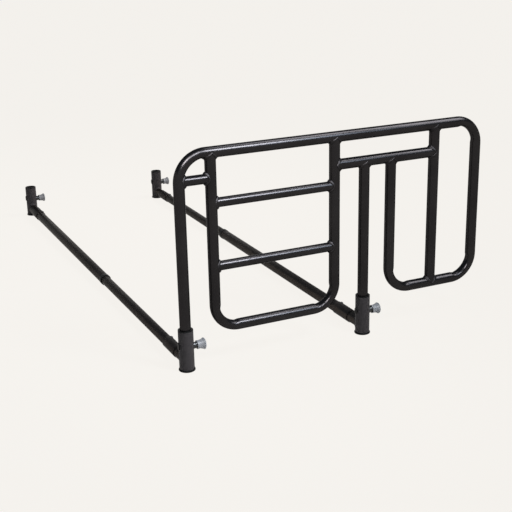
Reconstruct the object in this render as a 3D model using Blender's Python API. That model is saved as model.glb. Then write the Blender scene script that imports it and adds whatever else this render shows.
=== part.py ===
"""Bed assist rail.

A welded rail of steel tube stands in two sockets beside a bed. Each socket is the end of a crossbar
that runs under the mattress, telescopes to the width of the bed and has a second, empty socket on the
far side. A pull plunger on every socket locks a rail leg. Lengths are metres, X runs along the bed,
Y across it and Z up from the floor.
"""
import math

import bmesh
import bpy
import numpy as np

# Rail tubes
RAIL_TUBE_OD = 0.0254
RAIL_TUBE_WALL = 0.0015
RUNG_TUBE_OD = 0.022
RUNG_TUBE_WALL = 0.0012

# Rail layout along the bed, between tube axes
LEG_SPACING = 0.459
LOOP_FROM_LEFT_LEG = 0.074
LOOP_FROM_RIGHT_LEG = 0.079
GUARD_FROM_RIGHT_LEG = 0.072
GUARD_WIDTH = 0.2405

# Heights of tube axes above the floor, and below the hand rail for the two tubes that hang close under it
HAND_RAIL_HEIGHT = 0.493
STRUT_DROP = 0.057
LEG_BAR_DROP = 0.065
UPPER_RUNG_HEIGHT = 0.380
LOWER_RUNG_HEIGHT = 0.234
GUARD_BOTTOM_HEIGHT = 0.099
LOOP_BOTTOM_HEIGHT = 0.087

# Bends, to the tube's centre line. They are press bends, whose inner side is pushed flatter, with a short
# run at either end. Every joint of two tubes has a weld fillet.
LEFT_CORNER_RADIUS = 0.062
RIGHT_CORNER_RADIUS = 0.0565
GUARD_CORNER_RADIUS = 0.0575
LOOP_CORNER_RADIUS = 0.056
PRESS_FLAT = 0.0032
PRESS_RUN = math.radians(6)
WELD_LEG = 0.0050

# Crossbars
SPAN = 1.444
BAR_HEIGHT = 0.024
INNER_TUBE_OD = 0.0254
BAR_WALL = 0.0012
SLIDE_CLEAR = 0.0004
TUBE_REACH = 0.840
SLEEVE_START = 0.050
SLEEVE_LENGTH = 0.070
STUB_IN_SLEEVE = 0.034
MOUTH_RING_LENGTH = 0.014
MOUTH_RING_LIP = 0.0020
MOUTH_RING_WALL = 0.0008
MOUTH_RING_EDGE = 0.0004
MOUTH_RING_NOSE = 0.0010

# Sockets with their foot caps and liners
SOCKET_OD = 0.0349
SOCKET_WALL = 0.0015
SOCKET_LENGTH = 0.0915
CAP_THICKNESS = 0.0042
CAP_OVERHANG = 0.0018
CAP_EDGE_RADIUS = 0.0015
CAP_PLUG_HEIGHT = 0.012
CAP_PLUG_WALL = 0.0055
LINER_RIM = 0.0022
LINER_RIM_ROUND = 0.0006
LINER_LUG_HEIGHT = 0.065
LINER_LUG_OD = 0.010
LINER_LUG_PROUD = 0.0016
LINER_LUG_EDGE = 0.0006

# Pull plungers
PLUNGER_HEIGHT = 0.0562
PIN_OD = 0.0080
PIN_STEM_OD = 0.0050
PIN_COLLAR_OD = 0.0098
PIN_COLLAR_THICKNESS = 0.0015
PIN_NOSE_TAPER = 0.0012
PIN_LOCK_TRAVEL = 0.0048
PIN_PULL_TRAVEL = 0.0032
BARREL_OD = 0.0150
BARREL_SPIGOT_OD = 0.0116
BARREL_END_WALL = 0.0015
BARREL_EDGE = 0.0008
SPRING_WIRE = 0.0008
SPRING_COIL_OD = 0.0086
SPRING_TURNS = 4.5
SPRING_SHUT_LENGTH = 0.0042
KNOB_NECK_OD = 0.0205
KNOB_WAIST_OD = 0.0196
KNOB_RIM_OD = 0.0270
KNOB_SKIRT_COVER = 0.0083
KNOB_NECK_LENGTH = 0.0046
KNOB_NECK_EDGE = 0.0008
KNOB_RIM_ROUND = 0.0028
KNOB_HEAD_THICKNESS = 0.0066
KNOB_END_WALL = 0.0030

# Snap buttons and their leaf springs
BUTTON_OD = 0.0066
BUTTON_FROM_SLEEVE_END = 0.0060
BUTTON_PROUD = 0.0021
BUTTON_DOME = 0.0015
BUTTON_TILT = math.radians(35)
LEAF_WIDTH = 0.0080
LEAF_THICKNESS = 0.0008
LEAF_LENGTH = 0.026
LEAF_APEX_RADIUS = 0.0025
LEAF_PAD = 0.0110

# Clearances
SEAT_GAP = 0.0003
WELD_GAP = 0.0006
FIT_CLEAR = 0.0003
HOLE_CLEAR = 0.0004
CUT_OVERRUN = 0.004

# Facets round a tube and a small turned piece, through a bend, along one coil and round a wire, over a
# weld fillet and a rounded edge, along a knob's flare, and the edge angle that stays sharp
TUBE_SIDES = 16
SMALL_SIDES = 10
BEND_STEPS = 6
COIL_STEPS = 6
WIRE_SIDES = 4
WELD_STEPS = 2
ROUND_STEPS = 2
FLARE_STEPS = 3
SHARP_ANGLE = math.radians(35)

# How far off a tube's end starts its run in to the tube that it meets, in how many steps and halvings
RUN_IN = 0.040
SEARCH_STEPS = 160
SEARCH_HALVINGS = 30

# Places worked out from the sizes above
RAIL_RADIUS = RAIL_TUBE_OD / 2
SOCKET_RADIUS = SOCKET_OD / 2
SOCKET_BORE = SOCKET_RADIUS - SOCKET_WALL
CAP_RADIUS = SOCKET_RADIUS + CAP_OVERHANG
SOCKET_BASE = CAP_THICKNESS + SEAT_GAP
SOCKET_TOP = SOCKET_BASE + SOCKET_LENGTH
LEG_FOOT = CAP_THICKNESS + CAP_PLUG_HEIGHT + SEAT_GAP
OUTER_TUBE_OD = INNER_TUBE_OD + 2 * (SLIDE_CLEAR + BAR_WALL)
SLEEVE_END = SLEEVE_START + SLEEVE_LENGTH
STUB_END = SLEEVE_START + STUB_IN_SLEEVE
BUTTON_Y = SLEEVE_END - BUTTON_FROM_SLEEVE_END

STRUT_HEIGHT = HAND_RAIL_HEIGHT - STRUT_DROP
LEG_BAR_HEIGHT = HAND_RAIL_HEIGHT - LEG_BAR_DROP
LOOP_LEFT_X = LOOP_FROM_LEFT_LEG
LOOP_RIGHT_X = LEG_SPACING - LOOP_FROM_RIGHT_LEG
GUARD_LEFT_X = LEG_SPACING + GUARD_FROM_RIGHT_LEG
GUARD_RIGHT_X = GUARD_LEFT_X + GUARD_WIDTH
GUARD_MIDDLE_X = GUARD_LEFT_X + GUARD_WIDTH / 2

LEFT_X = -(GUARD_RIGHT_X + RAIL_RADIUS - CAP_RADIUS) / 2
RIGHT_X = LEFT_X + LEG_SPACING
NEAR_Y = -SPAN / 2
FAR_Y = SPAN / 2

# Stations of a plunger, measured along its axis from the socket's axis, at rest just clear of the leg
PIN_TIP = RAIL_RADIUS + SEAT_GAP + HOLE_CLEAR
SPIGOT_TIP = SOCKET_BORE + FIT_CLEAR
CHAMBER_START = SPIGOT_TIP + BARREL_END_WALL
COLLAR_START = CHAMBER_START + PIN_LOCK_TRAVEL + SEAT_GAP
COLLAR_END = COLLAR_START + PIN_COLLAR_THICKNESS
CHAMBER_END = COLLAR_END + PIN_PULL_TRAVEL + SPRING_SHUT_LENGTH
BARREL_END = CHAMBER_END + BARREL_END_WALL
KNOB_START = BARREL_END - KNOB_SKIRT_COVER
KNOB_FLOOR = BARREL_END + PIN_LOCK_TRAVEL + SEAT_GAP
KNOB_END = KNOB_FLOOR + KNOB_HEAD_THICKNESS
STEM_END = KNOB_END - KNOB_END_WALL - FIT_CLEAR

X_AXIS = np.array([1.0, 0.0, 0.0])
Y_AXIS = np.array([0.0, 1.0, 0.0])


def finish(name, colour, roughness, metallic):
    """A Principled material of one colour."""
    material = bpy.data.materials.new(name)
    material.use_nodes = True
    shader = material.node_tree.nodes["Principled BSDF"]
    shader.inputs["Base Color"].default_value = (*colour, 1.0)
    shader.inputs["Roughness"].default_value = roughness
    shader.inputs["Metallic"].default_value = metallic
    return material


def group(name, location):
    """An empty that carries the pieces of one assembly."""
    empty = bpy.data.objects.new(name, None)
    empty.location = location
    bpy.context.scene.collection.objects.link(empty)
    return empty


def loft(loops, cyclic=False):
    """A mesh through loops of points, each a ring or a single pole, joined in order."""
    mesh = bpy.data.meshes.new("loft")
    shape = bmesh.new()
    rings = [[shape.verts.new(point) for point in loop] for loop in loops]
    pairs = list(zip(rings, rings[1:]))
    if cyclic:
        pairs.append((rings[-1], rings[0]))
    for low, high in pairs:
        count = max(len(low), len(high))
        for k in range(count):
            after = (k + 1) % count
            if len(low) == 1:
                shape.faces.new((low[0], high[after], high[k]))
            elif len(high) == 1:
                shape.faces.new((low[k], low[after], high[0]))
            else:
                shape.faces.new((low[k], low[after], high[after], high[k]))
    shape.to_mesh(mesh)
    shape.free()
    return mesh


def piece(name, mesh, material, parent, location=(0, 0, 0), rotation=(0, 0, 0)):
    """A named object on its assembly's empty, shaded smooth between sharp edges."""
    mesh.name = name
    mesh.shade_smooth()
    mesh.set_sharp_from_angle(angle=SHARP_ANGLE)
    mesh.materials.append(material)
    made = bpy.data.objects.new(name, mesh)
    made.parent = parent
    made.location = location
    made.rotation_euler = rotation
    bpy.context.scene.collection.objects.link(made)
    return made


def tool(name, mesh, parent, location=(0, 0, 0), rotation=(0, 0, 0)):
    """A shape that only cuts or adds to another piece."""
    made = bpy.data.objects.new(name, mesh)
    made.parent = parent
    made.location = location
    made.rotation_euler = rotation
    made.hide_render = True
    made.display_type = "WIRE"
    bpy.context.scene.collection.objects.link(made)
    return made


def combine(target, other, operation):
    """A Boolean between a piece and a tool."""
    modifier = target.modifiers.new(other.name, "BOOLEAN")
    modifier.operation = operation
    modifier.solver = "EXACT"
    modifier.object = other


def ring(radius, height, sides):
    """Points of one level of a turned piece about Z."""
    angle = 2 * np.pi * np.arange(sides) / sides
    level = np.broadcast_to(height, angle.shape)
    return np.column_stack([radius * np.cos(angle), radius * np.sin(angle), level])


def turned(profile, sides, cyclic=False):
    """A mesh turned about Z from (radius, height) points, up the outer side and down the inner one."""
    loops = []
    for radius, height in profile:
        loops.append(ring(radius, height, sides) if radius > 0 else [(0, 0, height)])
    return loft(loops, cyclic)


def quarter(centre_r, centre_z, radius, start, end):
    """Profile points of a rounded edge between two angles in degrees."""
    angles = np.radians(np.linspace(start, end, ROUND_STEPS + 1))
    return [(centre_r + radius * math.cos(a), centre_z + radius * math.sin(a)) for a in angles]


def cylinder(radius, start, end, sides):
    """A closed cylinder about Z."""
    return turned([(0, start), (radius, start), (radius, end), (0, end)], sides)


def bent_path(corners, radii):
    """Stations (point, direction, flat) of a tube in the XZ plane that rounds each inner corner.

    The flat is how far the tube's inner side is pushed in there, as a vector away from the bend's
    centre. It is nothing on the straight runs and at the two ends of a bend.
    """
    points = [np.array([x, 0.0, z]) for x, z in corners]
    runs = [ahead - behind for behind, ahead in zip(points, points[1:])]
    runs = [run / np.linalg.norm(run) for run in runs]
    round_flat = np.zeros(3)
    pressed = np.linspace(PRESS_RUN, np.pi / 2 - PRESS_RUN, BEND_STEPS - 1)
    turns = np.concatenate([[0], pressed, [np.pi / 2]])
    stations = [(points[0], runs[0], round_flat)]
    for point, first, second, radius in zip(points[1:], runs, runs[1:], radii):
        centre = point + radius * (second - first)
        for turn in turns:
            arm = first * math.sin(turn) - second * math.cos(turn)
            along = first * math.cos(turn) + second * math.sin(turn)
            flat = PRESS_FLAT * arm if turns[0] < turn < turns[-1] else round_flat
            stations.append((centre + radius * arm, along, flat))
    stations.append((points[-1], runs[-1], round_flat))
    return stations


def spokes_round(direction, across):
    """Unit spokes round a tube's centre line, the first square to both directions."""
    angle = 2 * np.pi * np.arange(TUBE_SIDES) / TUBE_SIDES
    normal = np.cross(across, direction)
    return np.outer(np.cos(angle), normal) + np.outer(np.sin(angle), across)


def round_station(station, across, radius):
    """A ring round a tube's centre line, with the side that faces a press bend's centre pushed in."""
    point, direction, flat = station
    spokes = spokes_round(direction, across)
    depth = np.linalg.norm(flat)
    ring_points = point + np.asarray(radius) * spokes
    if depth > 0:
        facing = np.clip(-spokes @ (flat / depth), 0, 1)
        ring_points = ring_points + np.outer(facing, flat)
    return ring_points


def distance_to_path(points, path):
    """Distance from each point to a line of straight runs."""
    start = path[:-1]
    run = path[1:] - path[:-1]
    offset = points[:, None, :] - start[None, :, :]
    share = (offset * run).sum(2) / (run * run).sum(1)
    nearest = start + np.clip(share, 0, 1)[..., None] * run
    return np.linalg.norm(points[:, None, :] - nearest, axis=2).min(1)


def run_to_tube(points, direction, reach, path, radius):
    """Move points along a direction until they meet a tube's surface, or its middle where they pass it."""
    steps = np.linspace(0, reach, SEARCH_STEPS + 1)
    away = np.array([distance_to_path(points + step * direction, path) for step in steps])
    inside = away < radius
    first = np.where(inside.any(0), inside.argmax(0), away.argmin(0))
    high = steps[first]
    low = steps[np.maximum(first - 1, 0)]
    for _ in range(SEARCH_HALVINGS):
        middle = (low + high) / 2
        clear = distance_to_path(points + middle[:, None] * direction, path) >= radius
        low = np.where(clear, middle, low)
        high = np.where(clear, high, middle)
    return points + low[:, None] * direction


def coped_end(station, inward, across, radius, wall, neighbour):
    """Rings of a tube end that is shaped to another tube and welded to it all round.

    The fillet is hollow, a quarter circle between the two tubes. It is widest in the corner between
    them and dies out where their sides run level. Returns the fillet's rings, from the saddle on the
    other tube to the toe on this one, and the bore's ring.
    """
    joint, direction, _ = station
    path, neighbour_radius = neighbour
    angle = 2 * np.pi * np.arange(TUBE_SIDES) / TUBE_SIDES
    leg = WELD_LEG * np.cos(angle)[:, None] ** 2
    reach = neighbour_radius + RUN_IN
    spokes = spokes_round(direction, across)

    def meet(size):
        line = joint + inward * reach + size * spokes
        return run_to_tube(line, -inward, reach, path, neighbour_radius + WELD_GAP)

    rings = []
    for turn in np.linspace(0, np.pi / 2, WELD_STEPS + 1):
        spread = leg * (1 - math.sin(turn))
        rise = leg * (1 - math.cos(turn))
        rings.append(meet(radius + spread) + inward * (rise + WELD_GAP * math.sin(turn)))
    return rings, meet(radius - wall)


def tube(stations, across, radius, wall, start_on=None, end_on=None):
    """A hollow tube along stations, square at its ends or coped to the tube that it is welded to."""
    outer = [round_station(station, across, radius) for station in stations]
    inner = [round_station(station, across, radius - wall) for station in stations]
    if start_on:
        inward = stations[0][1]
        fillet, bore = coped_end(stations[0], inward, across, radius, wall, start_on)
        outer[0:1] = fillet
        inner[0:1] = [bore]
    if end_on:
        inward = -stations[-1][1]
        fillet, bore = coped_end(stations[-1], inward, across, radius, wall, end_on)
        outer[-1:] = fillet[::-1]
        inner[-1:] = [bore]
    return loft(outer + inner[::-1], cyclic=True)


def straight(start, end):
    """Stations of a straight tube."""
    along = np.subtract(end, start).astype(float)
    along = along / np.linalg.norm(along)
    return [(np.array(start, float), along, np.zeros(3)), (np.array(end, float), along, np.zeros(3))]


def centre_line(stations):
    """The points of a tube's centre line."""
    return np.array([point for point, _, _ in stations])


def leg_hole(name, leg, x, rail):
    """The hole on a leg's outer side that a plunger's pin locks into."""
    drill = cylinder(PIN_OD / 2 + HOLE_CLEAR, 0, RAIL_RADIUS + CUT_OVERRUN, SMALL_SIDES)
    cutter = tool(name, drill, rail, (x, 0, PLUNGER_HEIGHT), (0, math.pi / 2, 0))
    combine(leg, cutter, "DIFFERENCE")


def build_rail(black_coat):
    """The welded rail, on an empty at the foot of its left leg."""
    rail = group("rail_frame", (LEFT_X, NEAR_Y, 0))

    hand_rail = bent_path(
        [
            (0, LEG_FOOT),
            (0, HAND_RAIL_HEIGHT),
            (GUARD_RIGHT_X, HAND_RAIL_HEIGHT),
            (GUARD_RIGHT_X, GUARD_BOTTOM_HEIGHT),
            (GUARD_LEFT_X, GUARD_BOTTOM_HEIGHT),
            (GUARD_LEFT_X, LEG_BAR_HEIGHT),
        ],
        [LEFT_CORNER_RADIUS, RIGHT_CORNER_RADIUS, GUARD_CORNER_RADIUS, GUARD_CORNER_RADIUS],
    )
    loop = bent_path(
        [
            (LOOP_LEFT_X, HAND_RAIL_HEIGHT),
            (LOOP_LEFT_X, LOOP_BOTTOM_HEIGHT),
            (LOOP_RIGHT_X, LOOP_BOTTOM_HEIGHT),
            (LOOP_RIGHT_X, HAND_RAIL_HEIGHT),
        ],
        [LOOP_CORNER_RADIUS, LOOP_CORNER_RADIUS],
    )
    guard_upright = straight(
        (GUARD_MIDDLE_X, 0, GUARD_BOTTOM_HEIGHT), (GUARD_MIDDLE_X, 0, HAND_RAIL_HEIGHT)
    )
    leg_bar = straight((LOOP_RIGHT_X, 0, LEG_BAR_HEIGHT), (GUARD_MIDDLE_X, 0, LEG_BAR_HEIGHT))
    right_leg = straight((LEG_SPACING, 0, LEG_FOOT), (LEG_SPACING, 0, LEG_BAR_HEIGHT))

    on_hand_rail = (centre_line(hand_rail), RAIL_RADIUS)
    on_loop = (centre_line(loop), RAIL_RADIUS)
    on_guard_upright = (centre_line(guard_upright), RAIL_RADIUS)
    on_leg_bar = (centre_line(leg_bar), RAIL_RADIUS)

    def weld(name, stations, radius, wall, start_on, end_on):
        return piece(name, tube(stations, Y_AXIS, radius, wall, start_on, end_on), black_coat, rail)

    left_leg = weld("hand_rail_tube", hand_rail, RAIL_RADIUS, RAIL_TUBE_WALL, None, on_leg_bar)
    weld("centre_loop", loop, RAIL_RADIUS, RAIL_TUBE_WALL, on_hand_rail, on_hand_rail)
    weld("guard_upright", guard_upright, RAIL_RADIUS, RAIL_TUBE_WALL, on_hand_rail, on_hand_rail)
    weld("leg_bar", leg_bar, RAIL_RADIUS, RAIL_TUBE_WALL, on_loop, on_guard_upright)
    leg = weld("right_leg", right_leg, RAIL_RADIUS, RAIL_TUBE_WALL, None, on_leg_bar)
    leg_hole("left_leg_drill", left_leg, 0, rail)
    leg_hole("right_leg_drill", leg, LEG_SPACING, rail)

    rungs = {
        "upper_rung": (LOOP_LEFT_X, LOOP_RIGHT_X, UPPER_RUNG_HEIGHT, on_loop),
        "lower_rung": (LOOP_LEFT_X, LOOP_RIGHT_X, LOWER_RUNG_HEIGHT, on_loop),
        "corner_strut": (0, LOOP_LEFT_X, STRUT_HEIGHT, on_hand_rail),
    }
    for name, (start, end, height, start_on) in rungs.items():
        run = straight((start, 0, height), (end, 0, height))
        weld(name, run, RUNG_TUBE_OD / 2, RUNG_TUBE_WALL, start_on, on_loop)


def build_socket(name, corner, black_coat, black_plastic):
    """The upright socket with its foot cap and liner."""
    wall = [
        (SOCKET_BORE, SOCKET_BASE),
        (SOCKET_RADIUS, SOCKET_BASE),
        (SOCKET_RADIUS, SOCKET_TOP),
        (SOCKET_BORE, SOCKET_TOP),
    ]
    socket = piece(f"{name}_socket", turned(wall, TUBE_SIDES, cyclic=True), black_coat, corner)
    reach = SOCKET_RADIUS + CUT_OVERRUN
    pin_level = (0, 0, PLUNGER_HEIGHT)
    pin_side = (0, math.pi / 2, 0)
    lug_level = (0, 0, LINER_LUG_HEIGHT)
    lug_side = (0, -math.pi / 2, 0)
    spigot_hole = cylinder(BARREL_SPIGOT_OD / 2 + HOLE_CLEAR, 0, reach, SMALL_SIDES)
    combine(socket, tool(f"{name}_spigot_drill", spigot_hole, corner, pin_level, pin_side), "DIFFERENCE")
    lug_hole = cylinder(LINER_LUG_OD / 2 + HOLE_CLEAR, 0, reach, SMALL_SIDES)
    combine(socket, tool(f"{name}_lug_drill", lug_hole, corner, lug_level, lug_side), "DIFFERENCE")

    plug_radius = SOCKET_BORE - FIT_CLEAR
    plug_top = CAP_THICKNESS + CAP_PLUG_HEIGHT
    edge = CAP_RADIUS - CAP_EDGE_RADIUS
    cap = [(0, 0)]
    cap += quarter(edge, CAP_EDGE_RADIUS, CAP_EDGE_RADIUS, -90, 0)
    cap += quarter(edge, CAP_THICKNESS - CAP_EDGE_RADIUS, CAP_EDGE_RADIUS, 0, 90)
    cap += [
        (plug_radius, CAP_THICKNESS),
        (plug_radius, plug_top),
        (plug_radius - CAP_PLUG_WALL, plug_top),
        (plug_radius - CAP_PLUG_WALL, CAP_THICKNESS),
        (0, CAP_THICKNESS),
    ]
    piece(f"{name}_foot_cap", turned(cap, TUBE_SIDES), black_plastic, corner)

    liner_radius = SOCKET_BORE - FIT_CLEAR
    liner_bore = RAIL_RADIUS + FIT_CLEAR
    liner_foot = plug_top + SEAT_GAP
    rim_foot = SOCKET_TOP + SEAT_GAP
    rim_top = rim_foot + LINER_RIM
    liner = [
        (0, liner_foot),
        (liner_radius, liner_foot),
        (liner_radius, rim_foot),
        (SOCKET_RADIUS, rim_foot),
        (SOCKET_RADIUS, rim_top - LINER_RIM_ROUND),
        (SOCKET_RADIUS - LINER_RIM_ROUND, rim_top),
        (0, rim_top),
    ]
    bush = piece(f"{name}_liner", turned(liner, TUBE_SIDES), black_plastic, corner)
    lug_end = SOCKET_RADIUS + LINER_LUG_PROUD
    lug_radius = LINER_LUG_OD / 2
    lug_profile = [
        (0, 0),
        (lug_radius, 0),
        (lug_radius, lug_end - LINER_LUG_EDGE),
        (lug_radius - LINER_LUG_EDGE, lug_end),
        (0, lug_end),
    ]
    lug = turned(lug_profile, SMALL_SIDES)
    combine(bush, tool(f"{name}_liner_lug", lug, corner, lug_level, lug_side), "UNION")
    bore = cylinder(liner_bore, liner_foot - CUT_OVERRUN, rim_top + CUT_OVERRUN, TUBE_SIDES)
    combine(bush, tool(f"{name}_liner_bore", bore, corner), "DIFFERENCE")
    pin_hole = cylinder(PIN_OD / 2 + HOLE_CLEAR, 0, reach, SMALL_SIDES)
    combine(bush, tool(f"{name}_liner_drill", pin_hole, corner, pin_level, pin_side), "DIFFERENCE")


def coil_spring():
    """A coil spring round the pin's stem, one unbroken wire, with its least gap to itself."""
    radius = (SPRING_COIL_OD - SPRING_WIRE) / 2
    start = COLLAR_END + SEAT_GAP + SPRING_WIRE / 2
    end = CHAMBER_END - SEAT_GAP - SPRING_WIRE / 2
    count = int(SPRING_TURNS * COIL_STEPS)
    turn = np.linspace(0, 2 * np.pi * SPRING_TURNS, count + 1)
    rise = np.linspace(start, end, count + 1)
    line = np.column_stack([radius * np.cos(turn), radius * np.sin(turn), rise])
    climb = (end - start) / turn[-1]
    along = np.column_stack([-radius * np.sin(turn), radius * np.cos(turn), np.full_like(turn, climb)])
    along = along / np.linalg.norm(along, axis=1)[:, None]
    outward = np.column_stack([np.cos(turn), np.sin(turn), np.zeros_like(turn)])
    upward = np.cross(along, outward)
    angle = 2 * np.pi * np.arange(WIRE_SIDES) / WIRE_SIDES
    loops = [[line[0]]]
    for centre, out, up in zip(line, outward, upward):
        spokes = np.outer(np.cos(angle), out) + np.outer(np.sin(angle), up)
        loops.append(centre + SPRING_WIRE / 2 * spokes)
    loops.append([line[-1]])
    apart = np.linalg.norm(line[:, None] - line[None], axis=2)
    order = np.abs(np.subtract.outer(np.arange(len(line)), np.arange(len(line))))
    gap = apart[order > COIL_STEPS // 2].min() - SPRING_WIRE
    print(f"least gap between the spring's coils: {gap * 1000:.2f} mm")
    return loft(loops)


def build_plunger(name, corner, black_plastic, grey_plastic, steel):
    """The pull plunger: barrel, sprung pin and knob, all about one axis along X."""
    level = (0, 0, PLUNGER_HEIGHT)
    sideways = (0, math.pi / 2, 0)

    def seat(radius):
        across = ring(radius, 0, SMALL_SIDES)[:, 1]
        return ring(radius, np.sqrt((SOCKET_RADIUS + SEAT_GAP) ** 2 - across ** 2), SMALL_SIDES)

    barrel_radius = BARREL_OD / 2
    spigot = BARREL_SPIGOT_OD / 2
    chamber = PIN_COLLAR_OD / 2 + HOLE_CLEAR
    nose_hole = PIN_OD / 2 + HOLE_CLEAR
    stem_hole = PIN_STEM_OD / 2 + HOLE_CLEAR
    loops = [
        ring(spigot, SPIGOT_TIP, SMALL_SIDES),
        seat(spigot),
        seat(barrel_radius),
        ring(barrel_radius, BARREL_END - BARREL_EDGE, SMALL_SIDES),
        ring(barrel_radius - BARREL_EDGE, BARREL_END, SMALL_SIDES),
        ring(stem_hole, BARREL_END, SMALL_SIDES),
        ring(stem_hole, CHAMBER_END, SMALL_SIDES),
        ring(chamber, CHAMBER_END, SMALL_SIDES),
        ring(chamber, CHAMBER_START, SMALL_SIDES),
        ring(nose_hole, CHAMBER_START, SMALL_SIDES),
        ring(nose_hole, SPIGOT_TIP, SMALL_SIDES),
    ]
    piece(f"{name}_plunger_barrel", loft(loops, cyclic=True), black_plastic, corner, level, sideways)

    nose = PIN_OD / 2
    pin = [
        (0, PIN_TIP),
        (nose - PIN_NOSE_TAPER, PIN_TIP),
        (nose, PIN_TIP + PIN_NOSE_TAPER),
        (nose, COLLAR_START),
        (PIN_COLLAR_OD / 2, COLLAR_START),
        (PIN_COLLAR_OD / 2, COLLAR_END),
        (PIN_STEM_OD / 2, COLLAR_END),
        (PIN_STEM_OD / 2, STEM_END),
        (0, STEM_END),
    ]
    piece(f"{name}_plunger_pin", turned(pin, SMALL_SIDES), steel, corner, level, sideways)
    piece(f"{name}_plunger_spring", coil_spring(), steel, corner, level, sideways)

    skirt = barrel_radius + HOLE_CLEAR
    stem = PIN_STEM_OD / 2 + FIT_CLEAR
    neck = KNOB_NECK_OD / 2
    waist = KNOB_WAIST_OD / 2
    rim = KNOB_RIM_OD / 2
    waist_height = KNOB_START + KNOB_NECK_LENGTH
    rim_height = KNOB_END - KNOB_RIM_ROUND
    knob = [
        (0, STEM_END + FIT_CLEAR),
        (stem, STEM_END + FIT_CLEAR),
        (stem, KNOB_FLOOR),
        (skirt, KNOB_FLOOR),
        (skirt, KNOB_START),
        (neck - KNOB_NECK_EDGE, KNOB_START),
        (neck, KNOB_START + KNOB_NECK_EDGE),
    ]
    for share in np.linspace(0, 1, FLARE_STEPS, endpoint=False):
        height = waist_height + share * (rim_height - waist_height)
        knob.append((waist + (rim - waist) * share ** 2, height))
    knob += quarter(rim - KNOB_RIM_ROUND, rim_height, KNOB_RIM_ROUND, 0, 90)
    knob.append((0, KNOB_END))
    piece(f"{name}_plunger_knob", turned(knob, TUBE_SIDES), grey_plastic, corner, level, sideways)


def build_crossbar_end(name, corner, heading, tube_od, tube_name, black_coat, steel):
    """The stub, sleeve and crossbar tube of one corner, joined by a snap button."""
    radius = tube_od / 2
    sleeve_radius = radius + SLIDE_CLEAR + BAR_WALL

    def along(distance):
        return (0, heading * distance, BAR_HEIGHT)

    socket = (np.array([[0, 0, 0], [0, 0, SOCKET_TOP]], float), SOCKET_RADIUS)
    stub = tube(straight(along(0), along(STUB_END)), X_AXIS, radius, BAR_WALL, start_on=socket)
    piece(f"{name}_stub", stub, black_coat, corner)
    sleeve_run = straight(along(SLEEVE_START), along(SLEEVE_END))
    sleeve = piece(f"{name}_sleeve", tube(sleeve_run, X_AXIS, sleeve_radius, BAR_WALL), black_coat, corner)
    bar_run = straight(along(STUB_END + SEAT_GAP), along(TUBE_REACH))
    bar = piece(tube_name, tube(bar_run, X_AXIS, radius, BAR_WALL), black_coat, corner)

    top = sleeve_radius + BUTTON_PROUD
    button_radius = BUTTON_OD / 2
    hole = cylinder(button_radius + HOLE_CLEAR, 0, top, SMALL_SIDES)
    lean = (0, BUTTON_TILT, 0)
    drill = tool(f"{name}_button_drill", hole, corner, along(BUTTON_Y), lean)
    combine(sleeve, drill, "DIFFERENCE")
    combine(bar, drill, "DIFFERENCE")

    bore = radius - BAR_WALL
    leaf_top = math.sqrt(bore ** 2 - (LEAF_WIDTH / 2) ** 2) - SEAT_GAP
    root = leaf_top + SEAT_GAP
    button = [(0, root), (button_radius, root)]
    for angle in np.linspace(0, np.pi / 2, ROUND_STEPS + 1, endpoint=False):
        button.append((button_radius * math.cos(angle), top - BUTTON_DOME * (1 - math.sin(angle))))
    button.append((0, top))
    piece(f"{name}_snap_button", turned(button, SMALL_SIDES), steel, corner, along(BUTTON_Y), lean)

    strip = leaf_spring(leaf_top, heading)
    piece(f"{name}_button_spring", strip, steel, corner, along(BUTTON_Y), lean)


def leaf_spring(leaf_top, heading):
    """A strip bent to a V inside the tube: pads against both walls and a round apex further in."""
    half = LEAF_THICKNESS / 2
    pad = leaf_top - half
    back = LEAF_PAD / 2
    apex = LEAF_LENGTH - LEAF_APEX_RADIUS
    line = [(-back, pad), (back, pad)]
    for angle in np.linspace(90, -90, 2 * ROUND_STEPS + 1):
        turn = math.radians(angle)
        line.append((apex + LEAF_APEX_RADIUS * math.cos(turn), LEAF_APEX_RADIUS * math.sin(turn)))
    line += [(back, -pad), (-back, -pad)]
    points = np.array(line)
    ahead = np.gradient(points, axis=0)
    ahead = ahead / np.linalg.norm(ahead, axis=1)[:, None]
    normal = np.column_stack([-ahead[:, 1], ahead[:, 0]])
    side = LEAF_WIDTH / 2
    loops = []
    for (y, z), (ny, nz) in zip(points, normal):
        near = (heading * (y + half * ny), z + half * nz)
        far = (heading * (y - half * ny), z - half * nz)
        section = [(-side, *near), (side, *near), (side, *far), (-side, *far)]
        loops.append(section if heading > 0 else section[::-1])
    mesh = loft(loops)
    close_ends(mesh)
    return mesh


def close_ends(mesh):
    """Fill the open ends of a strip."""
    shape = bmesh.new()
    shape.from_mesh(mesh)
    rim = [edge for edge in shape.edges if edge.is_boundary]
    bmesh.ops.holes_fill(shape, edges=rim, sides=0)
    bmesh.ops.recalc_face_normals(shape, faces=shape.faces)
    shape.to_mesh(mesh)
    shape.free()


def build_mouth_ring(name, corner, heading, black_plastic):
    """The ring pressed over an outer tube's open end, which guides the inner tube."""
    radius = OUTER_TUBE_OD / 2
    hug = radius + FIT_CLEAR
    guide = INNER_TUBE_OD / 2 + FIT_CLEAR
    outside = hug + MOUTH_RING_WALL
    foot = TUBE_REACH - MOUTH_RING_LENGTH + MOUTH_RING_LIP
    step = TUBE_REACH + SEAT_GAP
    end = step + MOUTH_RING_LIP
    profile = [
        (hug, foot),
        (outside - MOUTH_RING_EDGE, foot),
        (outside, foot + MOUTH_RING_EDGE),
        (outside, end - MOUTH_RING_NOSE),
        (outside - MOUTH_RING_NOSE, end),
        (guide, end),
        (guide, step),
        (hug, step),
    ]
    loops = []
    for size, distance in profile:
        point = np.array([0, heading * distance, BAR_HEIGHT])
        loops.append(point + size * spokes_round(heading * Y_AXIS, X_AXIS))
    piece(name, loft(loops, cyclic=True), black_plastic, corner)


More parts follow.
